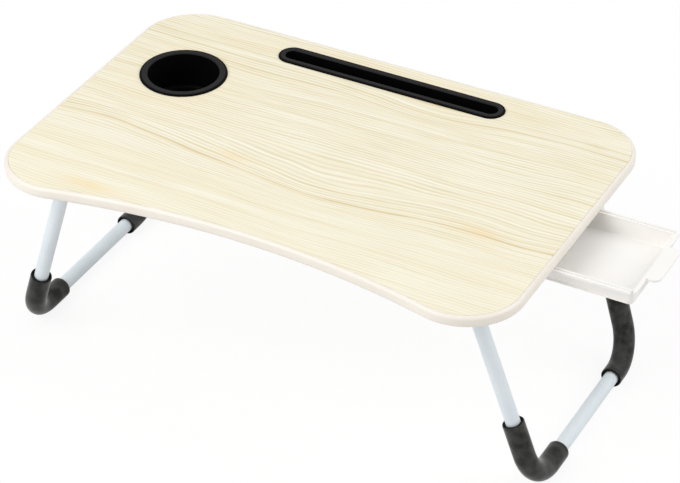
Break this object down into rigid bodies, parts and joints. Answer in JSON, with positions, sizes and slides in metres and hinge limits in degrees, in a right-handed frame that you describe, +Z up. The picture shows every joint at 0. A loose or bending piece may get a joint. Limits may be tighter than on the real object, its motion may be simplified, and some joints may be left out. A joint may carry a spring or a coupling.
{
  "type": "folding laptop table",
  "caption": "Low folding laptop table: pale wood-grain top with a waisted front edge, cup holder, tablet slot, two U-shaped folding tube legs and a shallow pull-out side drawer.",
  "frame": {"origin": "centre of the table's top face", "axes": "+Z up out of the top face, +X along the length towards the drawer, +Y towards the back edge with the tablet slot"},
  "size_m": [0.7242, 0.4, 0.2654],
  "materials": {
    "fibreboard": "raw medium-density fibreboard",
    "wood_laminate": "pale oak-print melamine laminate, satin",
    "white_film": "white balancing film, matt",
    "edge_plastic": "off-white extruded edge band, satin",
    "black_plastic": "black moulded polypropylene, fine grain",
    "hinge_plastic": "white moulded nylon",
    "rail_plastic": "white extruded plastic",
    "drawer_plastic": "warm white moulded polystyrene, semi-gloss",
    "powder_coat": "pale blue-white powder coat, satin",
    "foam_rubber": "charcoal foam rubber sleeve, matt",
    "zinc_steel": "bright zinc-plated steel"
  },
  "bodies": {
    "table": {"board_core": "fibreboard", "top_laminate": "wood_laminate", "underside_film": "white_film", "edge_band": "edge_plastic", "cup_holder": "black_plastic", "tablet_slot": "black_plastic", "drawer_rail_front": "rail_plastic", "drawer_rail_rear": "rail_plastic", "rail_screws": "zinc_steel", "bracket_screws": "zinc_steel", "hinge_bracket_left_front": "hinge_plastic", "hinge_bracket_left_rear": "hinge_plastic", "hinge_bracket_right_front": "hinge_plastic", "hinge_bracket_right_rear": "hinge_plastic", "hinge_pin_left_front": "zinc_steel", "hinge_pin_left_rear": "zinc_steel", "hinge_pin_right_front": "zinc_steel", "hinge_pin_right_rear": "zinc_steel"},
    "left_leg": {"leg_tube_left": "powder_coat", "hinge_knuckle_left_front": "hinge_plastic", "hinge_knuckle_left_rear": "hinge_plastic", "foot_sleeve_left_front": "foam_rubber", "foot_sleeve_left_rear": "foam_rubber"},
    "right_leg": {"leg_tube_right": "powder_coat", "hinge_knuckle_right_front": "hinge_plastic", "hinge_knuckle_right_rear": "hinge_plastic", "foot_sleeve_right_front": "foam_rubber", "foot_sleeve_right_rear": "foam_rubber"},
    "drawer": {"drawer_tray": "drawer_plastic"}
  },
  "joints": [
    {"name": "left_leg_fold", "type": "hinge", "parent": "table", "child": "left_leg", "pos_m": [-0.24145, 0, -0.035], "axis": [0, -1, 0], "range_deg": [0, 108]},
    {"name": "right_leg_fold", "type": "hinge", "parent": "table", "child": "right_leg", "pos_m": [0.24145, 0, -0.035], "axis": [0, 1, 0], "range_deg": [0, 108]},
    {"name": "drawer_slide", "type": "slide", "parent": "table", "child": "drawer", "axis": [1, 0, 0], "range_m": [-0.087, 0.095]}
  ]
}
